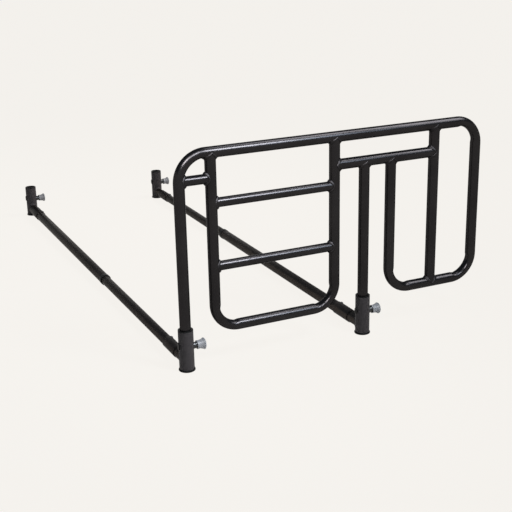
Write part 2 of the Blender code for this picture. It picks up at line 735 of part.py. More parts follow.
def build():
    """The rail, the four corners and the two crossbars that join them."""
    black_coat = finish("black_powder_coat", (0.022, 0.022, 0.024), 0.32, 0.0)
    black_plastic = finish("black_plastic", (0.008, 0.008, 0.009), 0.45, 0.0)
    grey_plastic = finish("grey_plastic", (0.36, 0.37, 0.42), 0.42, 0.0)
    steel = finish("plated_steel", (0.55, 0.55, 0.57), 0.28, 1.0)

    build_rail(black_coat)
    corners = {
        "near_left": (LEFT_X, NEAR_Y, 1, INNER_TUBE_OD, "left_inner_tube"),
        "near_right": (RIGHT_X, NEAR_Y, 1, OUTER_TUBE_OD, "right_outer_tube"),
        "far_left": (LEFT_X, FAR_Y, -1, OUTER_TUBE_OD, "left_outer_tube"),
        "far_right": (RIGHT_X, FAR_Y, -1, INNER_TUBE_OD, "right_inner_tube"),
    }
    rings = {"near_right": "right_mouth_ring", "far_left": "left_mouth_ring"}
    for name, (x, y, heading, tube_od, tube_name) in corners.items():
        corner = group(f"{name}_corner", (x, y, 0))
        build_socket(name, corner, black_coat, black_plastic)
        build_plunger(name, corner, black_plastic, grey_plastic, steel)
        build_crossbar_end(name, corner, heading, tube_od, tube_name, black_coat, steel)
        if name in rings:
            build_mouth_ring(rings[name], corner, heading, black_plastic)


for leftover in list(bpy.data.objects):
    bpy.data.objects.remove(leftover, do_unlink=True)
build()
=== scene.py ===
"""Bed assist rail, dressed: a welded tube rail standing in the sockets of two telescoping crossbars."""

import bpy
import numpy as np
from mathutils import Matrix, Vector


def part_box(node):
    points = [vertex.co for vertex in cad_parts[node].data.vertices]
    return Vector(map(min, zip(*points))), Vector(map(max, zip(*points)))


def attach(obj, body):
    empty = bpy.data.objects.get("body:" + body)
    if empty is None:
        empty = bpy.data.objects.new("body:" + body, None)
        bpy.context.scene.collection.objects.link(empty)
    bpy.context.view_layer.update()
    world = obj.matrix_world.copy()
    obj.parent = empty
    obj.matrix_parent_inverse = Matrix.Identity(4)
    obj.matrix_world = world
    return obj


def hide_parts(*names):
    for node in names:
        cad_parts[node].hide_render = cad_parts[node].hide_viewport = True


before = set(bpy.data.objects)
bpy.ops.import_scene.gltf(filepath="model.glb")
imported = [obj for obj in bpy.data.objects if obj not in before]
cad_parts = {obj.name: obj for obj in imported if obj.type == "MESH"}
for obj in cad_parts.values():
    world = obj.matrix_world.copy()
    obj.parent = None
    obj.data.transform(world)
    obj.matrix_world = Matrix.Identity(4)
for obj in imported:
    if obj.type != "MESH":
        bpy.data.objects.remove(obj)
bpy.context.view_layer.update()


# Hand rail: one long 25.4 mm steel tube that is the left leg, the hand rail, the guard's outer side,
# its bottom and its inner side. It is bent in a press, which flattens the inside of every bend, then
# powder coated black with the rest of the welded frame.
RAIL_RADIUS = 0.0127
RAIL_BORE = 0.0112
RAIL_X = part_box("hand_rail_tube")[0].x + RAIL_RADIUS
RAIL_Y = -0.722
RAIL_HIGH = 0.493
LEG_FOOT = 0.0165
LOOP_LEFT = RAIL_X + 0.074
LOOP_RIGHT = RAIL_X + 0.380
RIGHT_LEG = RAIL_X + 0.459
GUARD_LEFT = RAIL_X + 0.531
GUARD_MIDDLE = RAIL_X + 0.65125
GUARD_RIGHT = RAIL_X + 0.7715
GUARD_LOW = 0.099
LEG_BAR_HIGH = 0.428
RAIL_BENDS = [0.062, 0.0565, 0.0575, 0.0575]
ALONG = np.array([1.0, 0.0, 0.0])
ACROSS = np.array([0.0, 1.0, 0.0])
UPWARD = np.array([0.0, 0.0, 1.0])
CREASE = 40


def unit(vectors):
    """Vectors divided by their own length."""
    return vectors / np.linalg.norm(vectors, axis=-1, keepdims=True)


def surface(grids, wrap):
    """Vertices and faces of closed surfaces on grids of points.

    A grid has rows of points, and every row goes round and meets itself. With wrap the last row meets
    the first one. Otherwise the first and last rows are single points, the poles. The signed volume,
    a third of the sum of each face's centre times its area vector, turns a surface that faces inwards.
    """
    vertices = []
    faces = []
    count = 0
    for grid in grids:
        rows, columns = grid.shape[:2]
        index = np.arange(rows * columns).reshape(rows, columns)
        if not wrap:
            index[0] = index[0, 0]
            index[-1] = index[-1, 0]
        low = index if wrap else index[:-1]
        high = np.roll(index, -1, axis=0) if wrap else index[1:]
        quads = np.stack([low, np.roll(low, -1, axis=1), np.roll(high, -1, axis=1), high], axis=2)
        quads = quads.reshape(-1, 4)
        points = grid.reshape(-1, 3)
        first, second, third, fourth = points[quads].transpose(1, 0, 2)
        area = np.cross(third - first, fourth - second)
        centre = (first + second + third + fourth) / 4 - points.mean(axis=0)
        if (centre * area).sum() < 0:
            quads = quads[:, ::-1]
        used, packed = np.unique(quads, return_inverse=True)
        packed = packed.reshape(-1, 4) + count
        vertices += points[used].tolist()
        faces += [list(dict.fromkeys(face)) for face in packed.tolist()]
        count += len(used)
    return vertices, faces


def piece(name, grids, material, body, nodes=(), wrap=True, crease=CREASE):
    """A smooth piece made of closed surfaces, riding on a body in place of CAD nodes.

    Edges that turn by more degrees than the crease stay sharp.
    """
    vertices, faces = surface(grids, wrap)
    mesh = bpy.data.meshes.new(name)
    mesh.from_pydata(vertices, [], faces)
    mesh.shade_smooth()
    mesh.set_sharp_from_angle(angle=np.radians(crease))
    mesh.materials.append(material)
    made = bpy.data.objects.new(name, mesh)
    bpy.context.scene.collection.objects.link(made)
    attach(made, body)
    if nodes:
        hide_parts(*nodes)
    return made


def effect(name, inputs, outputs):
    """An empty shader node group with named number inputs and outputs."""
    group = bpy.data.node_groups.new(name, "ShaderNodeTree")
    for socket in inputs:
        group.interface.new_socket(socket, in_out="INPUT", socket_type="NodeSocketFloat")
    for socket in outputs:
        group.interface.new_socket(socket, in_out="OUTPUT", socket_type="NodeSocketFloat")
    return group, group.nodes.new("NodeGroupInput"), group.nodes.new("NodeGroupOutput")


def noise(tree, vector, size, detail):
    """Noise whose grains are about one size across, in metres, given as a number or a socket."""
    texture = tree.nodes.new("ShaderNodeTexNoise")
    texture.inputs["Detail"].default_value = detail
    tree.links.new(vector, texture.inputs["Vector"])
    if isinstance(size, float):
        texture.inputs["Scale"].default_value = 1.0 / size
        return texture.outputs["Fac"]
    cells = tree.nodes.new("ShaderNodeMath")
    cells.operation = "DIVIDE"
    cells.inputs[0].default_value = 1.0
    tree.links.new(size, cells.inputs[1])
    tree.links.new(cells.outputs[0], texture.inputs["Scale"])
    return texture.outputs["Fac"]


def spread(tree, value, low, high, start=0.0, end=1.0):
    """A value mapped from one range to another and held inside it."""
    mapped = tree.nodes.new("ShaderNodeMapRange")
    mapped.inputs["From Min"].default_value = low
    mapped.inputs["From Max"].default_value = high
    mapped.inputs["To Min"].default_value = start
    mapped.inputs["To Max"].default_value = end
    tree.links.new(value, mapped.inputs["Value"])
    return mapped.outputs["Result"]


PATCH_SIZE = 0.09


def coat_effect():
    """Powder coat: a soft peel with a fine grain, and wide patches where the powder lies thicker."""
    group, given, put = effect(
        "powder_coat",
        ["Peel Size", "Grain Size", "Grain Share"],
        ["Height", "Patch", "Grain"],
    )
    place = group.nodes.new("ShaderNodeTexCoord").outputs["Object"]
    peel = noise(group, place, given.outputs["Peel Size"], detail=1.0)
    grain = noise(group, place, given.outputs["Grain Size"], detail=2.0)
    patches = noise(group, place, PATCH_SIZE, detail=3.0)
    blend = group.nodes.new("ShaderNodeMix")
    group.links.new(given.outputs["Grain Share"], blend.inputs["Factor"])
    group.links.new(peel, blend.inputs["A"])
    group.links.new(grain, blend.inputs["B"])
    group.links.new(blend.outputs["Result"], put.inputs["Height"])
    group.links.new(spread(group, patches, low=0.35, high=0.65), put.inputs["Patch"])
    group.links.new(spread(group, grain, low=0.3, high=0.7), put.inputs["Grain"])
    return group


def finish(name, group, values, shades, roughness, bump, **fixed):
    """A Principled material that takes its tone, gloss and relief from an effect.

    The effect's patches run the base colour from the first shade to the second, its grain runs the
    roughness between two values, and its height is a bump so many metres deep.
    """
    material = bpy.data.materials.new(name)
    material.use_nodes = True
    tree = material.node_tree
    shader = tree.nodes["Principled BSDF"]
    for socket, value in fixed.items():
        shader.inputs[socket.replace("_", " ")].default_value = value
    made = tree.nodes.new("ShaderNodeGroup")
    made.node_tree = group
    for socket, value in values.items():
        made.inputs[socket].default_value = value
    tone = tree.nodes.new("ShaderNodeMix")
    tone.data_type = "RGBA"
    tone.inputs["A"].default_value = (*shades[0], 1.0)
    tone.inputs["B"].default_value = (*shades[1], 1.0)
    tree.links.new(made.outputs["Patch"], tone.inputs["Factor"])
    tree.links.new(tone.outputs["Result"], shader.inputs["Base Color"])
    gloss = spread(tree, made.outputs["Grain"], 0.0, 1.0, *roughness)
    tree.links.new(gloss, shader.inputs["Roughness"])
    relief = tree.nodes.new("ShaderNodeBump")
    relief.inputs["Distance"].default_value = bump
    tree.links.new(made.outputs["Height"], relief.inputs["Height"])
    tree.links.new(relief.outputs["Normal"], shader.inputs["Normal"])
    return material


POWDER = coat_effect()
RAIL_POWDER = {"Peel Size": 0.0045, "Grain Size": 0.0010, "Grain Share": 0.15}
RAIL_SHADES = [(0.0207, 0.0189, 0.0195), (0.0266, 0.0244, 0.0251)]
RAIL_BUMP = 0.000002
RAIL_GLOSS = {"Metallic": 0.8, "Specular_IOR_Level": 0.25, "Specular_Tint": (0.36, 0.36, 0.36, 1.0)}
RAIL_COAT = finish(
    "rail_gloss_coat",
    POWDER,
    RAIL_POWDER,
    RAIL_SHADES,
    roughness=(0.22, 0.27),
    bump=RAIL_BUMP,
    **RAIL_GLOSS,
)


def rounded_path(corners, radii, steps=26, ramp=np.radians(13)):
    """Stations of a tube that rounds its inner corners, and how far each bend has been pressed.

    Each bend is a quarter circle between the points where it leaves its two straight runs, with a few
    stations just outside it. The press depth rises and falls over a ramp at the ends of the bend as a
    smooth step, 3t^2 - 2t^3.
    Returns points, directions, the outward direction of the bend and a share from 0 to 1.
    """
    corners = np.array(corners, float)
    points = np.column_stack([corners[:, 0], np.full(len(corners), RAIL_Y), corners[:, 1]])
    run = unit(np.diff(points, axis=0))
    first, second = run[:-1, None, :], run[1:, None, :]
    radius = np.array(radii, float)[:, None, None]
    lead = np.array([0.012, 0.004])
    turn = np.concatenate([0 * lead, np.linspace(0, np.pi / 2, steps + 1), np.pi / 2 + 0 * lead])
    early = np.concatenate([lead, np.zeros(steps + 3)])[:, None]
    turn, late = turn[:, None], early[::-1]
    centre = points[1:-1, None, :] + radius * (second - first)
    outward = first * np.sin(turn) - second * np.cos(turn)
    ahead = first * np.cos(turn) + second * np.sin(turn)
    bend = centre + radius * outward - early * first + late * second
    near = np.clip(np.minimum(turn, np.pi / 2 - turn) / ramp, 0, 1)
    share = np.broadcast_to(3 * near ** 2 - 2 * near ** 3, bend[..., :1].shape)
    still = np.zeros((1, 3))
    return (
        np.concatenate([points[:1], bend.reshape(-1, 3), points[-1:]]),
        np.concatenate([run[:1], ahead.reshape(-1, 3), run[-1:]]),
        np.concatenate([still, outward.reshape(-1, 3), still]),
        np.concatenate([[0.0], share.reshape(-1), [0.0]]),
    )


def bent_tube(path, side, outer, bore, start=None, end=None, press=0.0028, sides=48, lip=0.0004):
    """The grid of a hollow tube: circles along the path, then back along the bore.

    A circle is the station plus the radius times cosine and sine of the angle along two directions
    square to the tube. In a press bend, points on the inside move outwards by the press depth times
    the cosine of their angle to the bend's middle. An end given a radius is coped: it runs in along the
    tube to where a main tube of that radius lies, the root of main radius squared less the width
    squared. An end given none is cut square with a small lip.
    """
    points, ahead, outward, share = path
    angle = 2 * np.pi * np.arange(sides) / sides
    normal = np.cross(side, ahead)
    spokes = np.cos(angle)[None, :, None] * normal[:, None, :] + np.sin(angle)[None, :, None] * side
    facing = np.clip(-(spokes * outward[:, None, :]).sum(axis=2), 0, 1)
    flat = (press * share)[:, None, None] * facing[..., None] * outward[:, None, :]

    def skin(radius):
        return points[:, None, :] + radius * spokes + flat

    def coped(ring, radius, main, direction):
        width = np.clip(radius * np.sin(angle) / main, -1, 1)
        return ring + (main * np.sqrt(1 - width ** 2) - lip)[:, None] * direction

    shell = skin(outer)
    hollow = skin(bore)
    heads = []
    for main, place, direction in ((start, 0, ahead[0]), (end, -1, -ahead[-1])):
        if main:
            shell[place] = coped(shell[place], outer, main, direction)
            hollow[place] = coped(hollow[place], bore, main, direction)
            heads.append(np.zeros((0, sides, 3)))
        else:
            centre = points[place]
            rim = centre + (outer - lip) * spokes[place]
            inside = centre + (bore + lip) * spokes[place]
            shell[place] = shell[place] + lip * direction
            hollow[place] = hollow[place] + lip * direction
            heads.append(np.stack([rim, inside]))
    return np.concatenate([shell, heads[1], hollow[::-1], heads[0][::-1]])


hand_rail_path = rounded_path(
    [
        (RAIL_X, LEG_FOOT),
        (RAIL_X, RAIL_HIGH),
        (GUARD_RIGHT, RAIL_HIGH),
        (GUARD_RIGHT, GUARD_LOW),
        (GUARD_LEFT, GUARD_LOW),
        (GUARD_LEFT, LEG_BAR_HIGH),
    ],
    RAIL_BENDS,
)
hand_rail = piece(
    "hand_rail",
    [bent_tube(hand_rail_path, ACROSS, RAIL_RADIUS, RAIL_BORE, end=RAIL_RADIUS)],
    RAIL_COAT,
    "rail",
    ["hand_rail_tube"],
)


def turned(profile, origin, axis, sides=64):
    """The grid of a turned piece: each (radius, height) of the profile goes once round the axis."""
    axis = np.asarray(axis, float)
    first = unit(np.cross(axis, ALONG if abs(axis[0]) < 0.9 else UPWARD))
    second = np.cross(axis, first)
    angle = 2 * np.pi * np.arange(sides) / sides
    round_it = np.cos(angle)[:, None] * first + np.sin(angle)[:, None] * second
    radius, height = np.asarray(profile, float).T
    return np.asarray(origin, float) + radius[:, None, None] * round_it + height[:, None, None] * axis


def drilled(target, origin, axis, radius, depth):
    """Bore a round hole of one depth into a finished piece."""
    profile = [(0, 0), (radius, 0), (radius, depth), (0, depth)]
    vertices, faces = surface([turned(profile, origin, axis, sides=32)], False)
    mesh = bpy.data.meshes.new("drill")
    mesh.from_pydata(vertices, [], faces)
    bit = bpy.data.objects.new("drill", mesh)
    bpy.context.scene.collection.objects.link(bit)
    hole = target.modifiers.new("hole", "BOOLEAN")
    hole.solver = "EXACT"
    hole.object = bit
    bpy.context.view_layer.update()
    bored = bpy.data.meshes.new_from_object(target.evaluated_get(bpy.context.evaluated_depsgraph_get()))
    target.modifiers.remove(hole)
    target.data = bored
    bored.shade_smooth()
    bored.set_sharp_from_angle(angle=np.radians(CREASE))
    bpy.data.objects.remove(bit)
    bpy.data.meshes.remove(mesh)


PIN_HIGH = 0.0562
PIN_HOLE = 0.0044
drilled(hand_rail, (RAIL_X, RAIL_Y, PIN_HIGH), ALONG, PIN_HOLE, 2 * RAIL_RADIUS)


# Right leg and leg bar: the leg is a straight tube welded under the bar, which itself is coped to the
# centre loop on one side and to the guard's upright on the other. Same tube and coat as the hand rail.
def straight(start, end):
    """Stations of a straight tube, with no bend to press."""
    points = np.array([start, end], float)
    ahead = np.repeat(unit(points[1:] - points[:1]), 2, axis=0)
    return points, ahead, np.zeros((2, 3)), np.zeros(2)


right_leg = piece(
    "right_leg_tube",
    [
        bent_tube(
            straight((RIGHT_LEG, RAIL_Y, LEG_FOOT), (RIGHT_LEG, RAIL_Y, LEG_BAR_HIGH)),
            ACROSS,
            RAIL_RADIUS,
            RAIL_BORE,
            end=RAIL_RADIUS,
        )
    ],
    RAIL_COAT,
    "rail",
    ["right_leg"],
)
drilled(right_leg, (RIGHT_LEG, RAIL_Y, PIN_HIGH), ALONG, PIN_HOLE, 2 * RAIL_RADIUS)
leg_bar = piece(
    "leg_bar_tube",
    [
        bent_tube(
            straight((LOOP_RIGHT, RAIL_Y, LEG_BAR_HIGH), (GUARD_MIDDLE, RAIL_Y, LEG_BAR_HIGH)),
            ACROSS,
            RAIL_RADIUS,
            RAIL_BORE,
            start=RAIL_RADIUS,
            end=RAIL_RADIUS,
        )
    ],
    RAIL_COAT,
    "rail",
    ["leg_bar"],
)


# Guard upright: the straight tube in the middle of the guard, coped to the hand rail above and to the
# guard's bottom run below.
guard_upright = piece(
    "guard_upright_tube",
    [
        bent_tube(
            straight((GUARD_MIDDLE, RAIL_Y, GUARD_LOW), (GUARD_MIDDLE, RAIL_Y, RAIL_HIGH)),
            ACROSS,
            RAIL_RADIUS,
            RAIL_BORE,
            start=RAIL_RADIUS,
            end=RAIL_RADIUS,
        )
    ],
    RAIL_COAT,
    "rail",
    ["guard_upright"],
)


# Centre loop: a U of the same tube, press bent at its two lower corners. Both ends are coped to the
# underside of the hand rail and hang from it.
LOOP_LOW = 0.087
LOOP_BENDS = [0.056, 0.056]
loop_path = rounded_path(
    [
        (LOOP_LEFT, RAIL_HIGH),
        (LOOP_LEFT, LOOP_LOW),
        (LOOP_RIGHT, LOOP_LOW),
        (LOOP_RIGHT, RAIL_HIGH),
    ],
    LOOP_BENDS,
)
centre_loop = piece(
    "centre_loop_tube",
    [bent_tube(loop_path, ACROSS, RAIL_RADIUS, RAIL_BORE, start=RAIL_RADIUS, end=RAIL_RADIUS)],
    RAIL_COAT,
    "rail",
    ["centre_loop"],
)


# Rungs and corner strut: thinner 22 mm tube, two rungs across the centre loop and a short strut that
# ties the loop to the left leg under the bend.
RUNG_RADIUS = 0.011
RUNG_BORE = 0.0098
UPPER_RUNG = 0.380
LOWER_RUNG = 0.234
STRUT_HIGH = 0.436
for name, node, left, right, height in (
    ("upper_rung_tube", "upper_rung", LOOP_LEFT, LOOP_RIGHT, UPPER_RUNG),
    ("lower_rung_tube", "lower_rung", LOOP_LEFT, LOOP_RIGHT, LOWER_RUNG),
    ("corner_strut_tube", "corner_strut", RAIL_X, LOOP_LEFT, STRUT_HIGH),
):
    rung = piece(
        name,
        [
            bent_tube(
                straight((left, RAIL_Y, height), (right, RAIL_Y, height)),
                ACROSS,
                RUNG_RADIUS,
                RUNG_BORE,
                start=RAIL_RADIUS,
                end=RAIL_RADIUS,
            )
        ],
        RAIL_COAT,
        "rail",
        [node],
    )


# Weld beads: every tube end of the rail is welded all round before coating. Where two rail tubes meet
# the bead is a hollow fillet, and where a thin rung meets one it stands full and round. Both are
# rippled by the steps of the torch, and the coat lies duller on them.
def weld_bead(
    joint, branch, across, branch_radius, main_radius, leg, fill, ridge, ripple, relief=0.0006, sink=0.0022
):
    """The grid of a weld bead round a branch tube that meets a main tube.

    The seam is the saddle where the two cylinders cross: at each angle round the branch, the main
    tube's lean is the arcsine of the width over its radius. From the seam the bead spreads one leg
    along each tube. Its face is the quadratic curve (1-t)^2 a + 2t(1-t) b + t^2 c from toe to toe. The
    middle point b is the seam, raised by a share of the leg in the corner and by the ridge at the
    sides, and the ripples are sines folded upwards. Two rows below the surface close it in the metal.
    """
    joint, branch, across = (np.asarray(vector, float) for vector in (joint, branch, across))
    along = np.cross(across, branch)
    count = 112
    turn = 2 * np.pi * np.arange(count)[:, None, None] / count
    cosine, sine = np.cos(turn), np.sin(turn)
    lean = np.arcsin(np.clip(branch_radius * sine / main_radius, -1, 1))
    width = leg * cosine ** 2 + 0.5 * leg * sine ** 2
    beyond = lean + width * sine / main_radius

    def spot(x, y, z):
        return x * along + y * across + z * branch

    rise = main_radius * np.cos(lean)
    reach = (branch_radius + width) * cosine
    seam = spot(branch_radius * cosine, branch_radius * sine, rise)
    toe_main = spot(reach, main_radius * np.sin(beyond), main_radius * np.cos(beyond))
    toe_branch = spot(branch_radius * cosine, branch_radius * sine, rise + width)
    off_main = spot(0, np.sin(beyond), np.cos(beyond))
    off_branch = spot(cosine, sine, 0)
    off = unit(spot(0, np.sin(lean), np.cos(lean)) + off_branch)
    share = np.linspace(0, 1, 11)[None, :, None]
    steps = np.round(2 * np.pi * branch_radius / ripple)
    bow = 1.1 * (2 * share - 1) ** 2
    fold = np.abs(np.sin(steps * turn / 2 + bow)) - 0.6
    swell = 2 * share * (1 - share)
    middle = seam + (fill * leg * cosine ** 2 + ridge * sine ** 2) * off
    face = (1 - share) ** 2 * toe_main + swell * middle + share ** 2 * toe_branch
    face = face + swell * relief * fold * off
    under = np.concatenate([toe_branch - sink * off_branch, toe_main - sink * off_main], axis=1)
    return joint + np.concatenate([face, under], axis=1)


def rail_weld(x, z, branch):
    """A hollow bead between two rail tubes."""
    return weld_bead(
        (x, RAIL_Y, z),
        branch,
        ACROSS,
        RAIL_RADIUS,
        RAIL_RADIUS,
        leg=0.0058,
        fill=0.25,
        ridge=0.0046,
        ripple=0.0032,
    )


def rung_weld(x, z, branch):
    """A full bead round the end of a thin rung."""
    return weld_bead(
        (x, RAIL_Y, z),
        branch,
        ACROSS,
        RUNG_RADIUS,
        RAIL_RADIUS,
        leg=0.0050,
        fill=0.9,
        ridge=0.0036,
        ripple=0.0030,
    )


WELD_COAT = finish(
    "weld_bead_coat",
    POWDER,
    RAIL_POWDER,
    RAIL_SHADES,
    roughness=(0.42, 0.50),
    bump=RAIL_BUMP,
    **RAIL_GLOSS,
)
WELD_CREASE = 70
rail_welds = piece(
    "rail_weld_beads",
    [
        rail_weld(LOOP_LEFT, RAIL_HIGH, -UPWARD),
        rail_weld(LOOP_RIGHT, RAIL_HIGH, -UPWARD),
        rail_weld(GUARD_MIDDLE, RAIL_HIGH, -UPWARD),
        rail_weld(GUARD_MIDDLE, GUARD_LOW, UPWARD),
        rail_weld(LOOP_RIGHT, LEG_BAR_HIGH, ALONG),
        rail_weld(GUARD_MIDDLE, LEG_BAR_HIGH, -ALONG),
        rail_weld(RIGHT_LEG, LEG_BAR_HIGH, -UPWARD),
        rail_weld(GUARD_LEFT, LEG_BAR_HIGH, -UPWARD),
        rung_weld(LOOP_LEFT, UPPER_RUNG, ALONG),
        rung_weld(LOOP_RIGHT, UPPER_RUNG, -ALONG),
        rung_weld(LOOP_LEFT, LOWER_RUNG, ALONG),
        rung_weld(LOOP_RIGHT, LOWER_RUNG, -ALONG),
        rung_weld(RAIL_X, STRUT_HIGH, ALONG),
        rung_weld(LOOP_LEFT, STRUT_HIGH, -ALONG),
    ],
    WELD_COAT,
    "rail",
    crease=WELD_CREASE,
)


# Sockets: four upright lengths of 35 mm tube, one at each end of both crossbars, in a duller charcoal
# coat than the rail. The crossbar's stub is welded to the side near the foot.
INNER_BAR = 0.0127
OUTER_BAR = 0.0143
CORNERS = {
    "near_left": (RAIL_X, RAIL_Y, 1.0, INNER_BAR, "left_base"),
    "near_right": (RIGHT_LEG, RAIL_Y, 1.0, OUTER_BAR, "right_base"),
    "far_left": (RAIL_X, -RAIL_Y, -1.0, OUTER_BAR, "left_far_end"),
    "far_right": (RIGHT_LEG, -RAIL_Y, -1.0, INNER_BAR, "right_far_end"),
}
SOCKET_RADIUS = 0.01745
SOCKET_BORE = 0.01595
SOCKET_FOOT = 0.0045
SOCKET_TOP = 0.0960
SOCKET_COAT = finish(
    "socket_satin_coat",
    POWDER,
    {"Peel Size": 0.003, "Grain Size": 0.0009, "Grain Share": 0.6},
    [(0.0400, 0.0342, 0.0348), (0.0492, 0.0422, 0.0424)],
    roughness=(0.5, 0.62),
    bump=0.000025,
    Specular_IOR_Level=0.12,
)


def eased(corners, steps, closed=True):
    """A profile with its corners rounded, each given as radius, height and the reach of its rounding.

    The rounding runs between the two points that lie one reach from the corner, on its sides. It is
    the quadratic curve (1-t)^2 a + 2t(1-t) b + t^2 c, with the corner itself as b. An open profile
    keeps its first and last points.
    """
    corners, reach = np.split(np.asarray(corners, float), [2], axis=1)
    before = corners + reach * unit(np.roll(corners, 1, axis=0) - corners)
    after = corners + reach * unit(np.roll(corners, -1, axis=0) - corners)
    share = np.linspace(0, 1, steps + 1)[None, :, None]
    curve = (1 - share) ** 2 * before[:, None] + share ** 2 * after[:, None]
    curve = curve + 2 * share * (1 - share) * corners[:, None]
    if closed:
        return curve.reshape(-1, 2)
    return np.concatenate([corners[:1], curve[1:-1].reshape(-1, 2), corners[-1:]])


def ring_profile(inner, outer, foot, top, ease=0.0004):
    """The closed profile of a tube wall with eased edges."""
    return eased([(inner, foot, ease), (outer, foot, ease), (outer, top, ease), (inner, top, ease)], 4)


socket_wall = ring_profile(SOCKET_BORE, SOCKET_RADIUS, SOCKET_FOOT, SOCKET_TOP)
for corner, (x, y, _, _, body) in CORNERS.items():
    socket = piece(
        f"{corner}_socket_tube",
        [turned(socket_wall, (x, y, 0), UPWARD)],
        SOCKET_COAT,
        body,
        [f"{corner}_socket"],
    )


# Foot caps: black moulded plugs, pushed into the foot of each socket. The rounded flange stays outside,
# and the whole part stands on the four of them.
CAP_RADIUS = 0.01925
FLANGE_TOP = 0.0042
PLUG_RADIUS = 0.01565
PLUG_TOP = 0.0162
CAP_PLASTIC = finish(
    "black_moulded_plastic",
    POWDER,
    {"Peel Size": 0.0016, "Grain Size": 0.0006, "Grain Share": 0.7},
    [(0.0020, 0.0019, 0.0019), (0.0038, 0.0037, 0.0037)],
    roughness=(0.38, 0.50),
    bump=0.00002,
    Specular_IOR_Level=0.08,
)
cap_outline = eased(
    [
        (0, 0, 0),
        (CAP_RADIUS, 0, 0.0019),
        (CAP_RADIUS, FLANGE_TOP, 0.0019),
        (PLUG_RADIUS, FLANGE_TOP, 0.0003),
        (PLUG_RADIUS, PLUG_TOP, 0.0008),
        (0, PLUG_TOP, 0),
    ],
    steps=6,
    closed=False,
)
for corner, (x, y, _, _, body) in CORNERS.items():
    cap = piece(
        f"{corner}_foot_plug",
        [turned(cap_outline, (x, y, 0), UPWARD)],
        CAP_PLASTIC,
        body,
        [f"{corner}_foot_cap"],
        wrap=False,
    )


# Liners: black bushes that take up the space between socket and leg. The rim lies on the socket's top
# edge, and an upright oval lug snaps out through the wall on the side away from the plunger.
LINER_BORE = 0.0130
LINER_RADIUS = 0.01565
LINER_FOOT = 0.0165
LINER_TOP = 0.0985
RIM_FOOT = SOCKET_TOP + 0.0003
LINER_DRILL = 0.02
LUG_ROOT = 0.0140
LUG_END = SOCKET_RADIUS + 0.0018
LUG_RADIUS = 0.0060
LUG_HIGH = 0.0600
LUG_STRETCH = np.array([1.0, 1.0, 1.4])
liner_outline = eased(
    [
        (LINER_BORE, LINER_FOOT, 0.0004),
        (LINER_RADIUS, LINER_FOOT, 0.0004),
        (LINER_RADIUS, RIM_FOOT, 0.0002),
        (SOCKET_RADIUS, RIM_FOOT, 0.0004),
        (SOCKET_RADIUS, LINER_TOP, 0.0009),
        (LINER_BORE, LINER_TOP, 0.0006),
    ],
    steps=5,
)
lug_outline = eased(
    [(0, LUG_ROOT, 0), (LUG_RADIUS, LUG_ROOT, 0), (LUG_RADIUS, LUG_END, 0.0010), (0, LUG_END, 0)],
    steps=6,
    closed=False,
)
for corner, (x, y, _, _, body) in CORNERS.items():
    liner = piece(
        f"{corner}_liner_bush",
        [turned(liner_outline, (x, y, 0), UPWARD)],
        CAP_PLASTIC,
        body,
        [f"{corner}_liner"],
    )
    drilled(liner, (x, y, PIN_HIGH), ALONG, PIN_HOLE, LINER_DRILL)
    lug = piece(
        f"{corner}_liner_lug",
        [turned(lug_outline, (x, y, 0), -ALONG, sides=40) * LUG_STRETCH + LUG_HIGH * UPWARD],
        CAP_PLASTIC,
        body,
        wrap=False,
    )


# Plungers: a black barrel screwed into the socket's side, a plated pin with its spring inside, and a
# grey trumpet-shaped knob on the pin's tail. Pulling the knob draws the pin out of the leg.
PIN_BORE = 0.0029
BARREL_START = 0.0150
BARREL_END = 0.03325
BARREL_RADIUS = 0.0075
COLLAR_RADIUS = 0.0079
COLLAR_END = 0.0206
NECK_RADIUS = BARREL_RADIUS - 0.0008
NECK_END = COLLAR_END + 0.0008
SHOULDER_END = COLLAR_END + 0.0012
BARREL_PLASTIC = finish(
    "barrel_gloss_plastic",
    POWDER,
    {"Peel Size": 0.003, "Grain Size": 0.0006, "Grain Share": 0.3},
    [(0.006, 0.006, 0.0065), (0.010, 0.010, 0.011)],
    roughness=(0.24, 0.32),
    bump=0.00001,
)
barrel_outline = eased(
    [
        (PIN_BORE, BARREL_START, 0),
        (COLLAR_RADIUS, BARREL_START, 0),
        (COLLAR_RADIUS, COLLAR_END, 0.0006),
        (NECK_RADIUS, COLLAR_END, 0.0002),
        (NECK_RADIUS, NECK_END, 0.0002),
        (BARREL_RADIUS, SHOULDER_END, 0.0002),
        (BARREL_RADIUS, BARREL_END, 0.0009),
        (PIN_BORE, BARREL_END, 0),
    ],
    steps=5,
)

KNOB_START = BARREL_END - 0.0083
KNOB_FLOOR = BARREL_END + 0.0051
KNOB_END = KNOB_FLOOR + 0.0066
KNOB_BORE = 0.0079
KNOB_SKIRT = 0.01025
KNOB_WAIST = 0.0098
KNOB_FLARE = 0.0037
LIP_RADIUS = 0.0028
WAIST_AT = KNOB_START + 0.0046
LIP_AT = KNOB_END - LIP_RADIUS
DISH_RADIUS = 0.0100
DISH_DEPTH = 0.0004
KNOB_PLASTIC = finish(
    "knob_grey_plastic",
    POWDER,
    {"Peel Size": 0.0025, "Grain Size": 0.0006, "Grain Share": 0.6},
    [(0.2532, 0.2457, 0.2518), (0.2984, 0.2909, 0.2984)],
    roughness=(0.36, 0.48),
    bump=0.000006,
    Specular_IOR_Level=0.3,
)
skirt = eased(
    [
        (0, KNOB_FLOOR, 0),
        (KNOB_BORE, KNOB_FLOOR, 0.0003),
        (KNOB_BORE, KNOB_START, 0.0004),
        (KNOB_SKIRT, KNOB_START, 0.0012),
        (KNOB_WAIST, WAIST_AT, 0),
    ],
    steps=6,
    closed=False,
)
flare = np.linspace(0, 1, 16)
bell = np.column_stack([KNOB_WAIST + KNOB_FLARE * flare ** 2, WAIST_AT + flare * (LIP_AT - WAIST_AT)])
lip_turn = np.linspace(0, np.pi / 2, 10)[1:]
